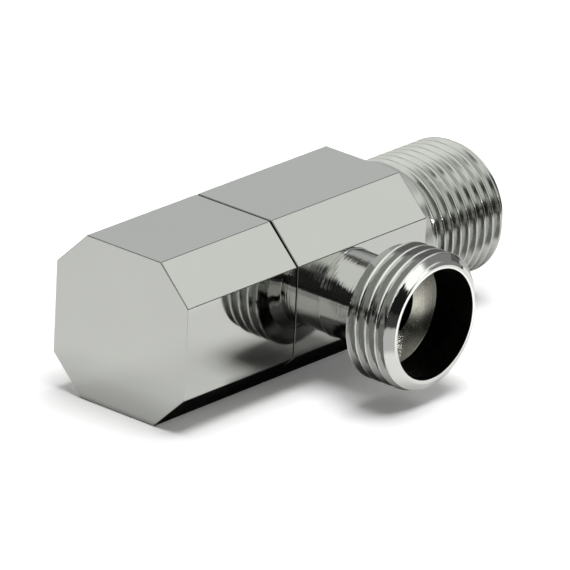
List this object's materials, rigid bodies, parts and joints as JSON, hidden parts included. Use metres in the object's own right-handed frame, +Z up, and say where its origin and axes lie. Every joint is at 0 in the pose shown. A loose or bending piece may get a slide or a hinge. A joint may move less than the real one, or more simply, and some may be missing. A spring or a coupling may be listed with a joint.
{
  "type": "angle stop valve",
  "caption": "Square angle stop valve with cut corners: quarter-turn handle, threaded inlet nipple in line with it, and a threaded outlet head on a round neck at a right angle.",
  "frame": {"origin": "on the inlet's axis, in the plane of the shoulder behind the inlet thread", "axes": "+X along the valve from the handle to the inlet, -Y out of the outlet, +Z up with the valve lying on its flat side"},
  "size_m": [0.073, 0.0414, 0.025],
  "materials": {
    "chrome_body": "polished chrome plate on brass",
    "chrome_outlet": "polished chrome plate on turned brass",
    "brass_housing": "machined brass, bare",
    "rubber_seal": "black nitrile rubber",
    "ceramic_disc": null,
    "white_plastic": "moulded acetal",
    "brass_spindle": "machined brass, bare",
    "steel_hardware": "stamped stainless steel",
    "chrome_handle": "polished chrome plate"
  },
  "bodies": {
    "valve": {"valve_body": "chrome_body", "outlet_nipple": "chrome_outlet", "cartridge_housing": "brass_housing", "housing_oring": "rubber_seal", "fixed_disc": "ceramic_disc", "seat_gasket": "rubber_seal", "seat_support_ring": "white_plastic"},
    "turning_handle": {"handle": "chrome_handle", "handle_insert": "white_plastic", "insert_lock_washer": "steel_hardware", "insert_screw": "steel_hardware", "handle_set_screw": "steel_hardware", "spindle": "brass_spindle", "spindle_oring_upper": "rubber_seal", "spindle_oring_lower": "rubber_seal", "thrust_washer": "white_plastic", "stop_ring": "steel_hardware", "snap_ring": "steel_hardware", "moving_disc": "ceramic_disc"}
  },
  "joints": [
    {"name": "handle_turn", "type": "hinge", "parent": "valve", "child": "turning_handle", "pos_m": [-0.036, 0, 0], "axis": [-1, 0, 0], "range_deg": [0, 90]}
  ]
}
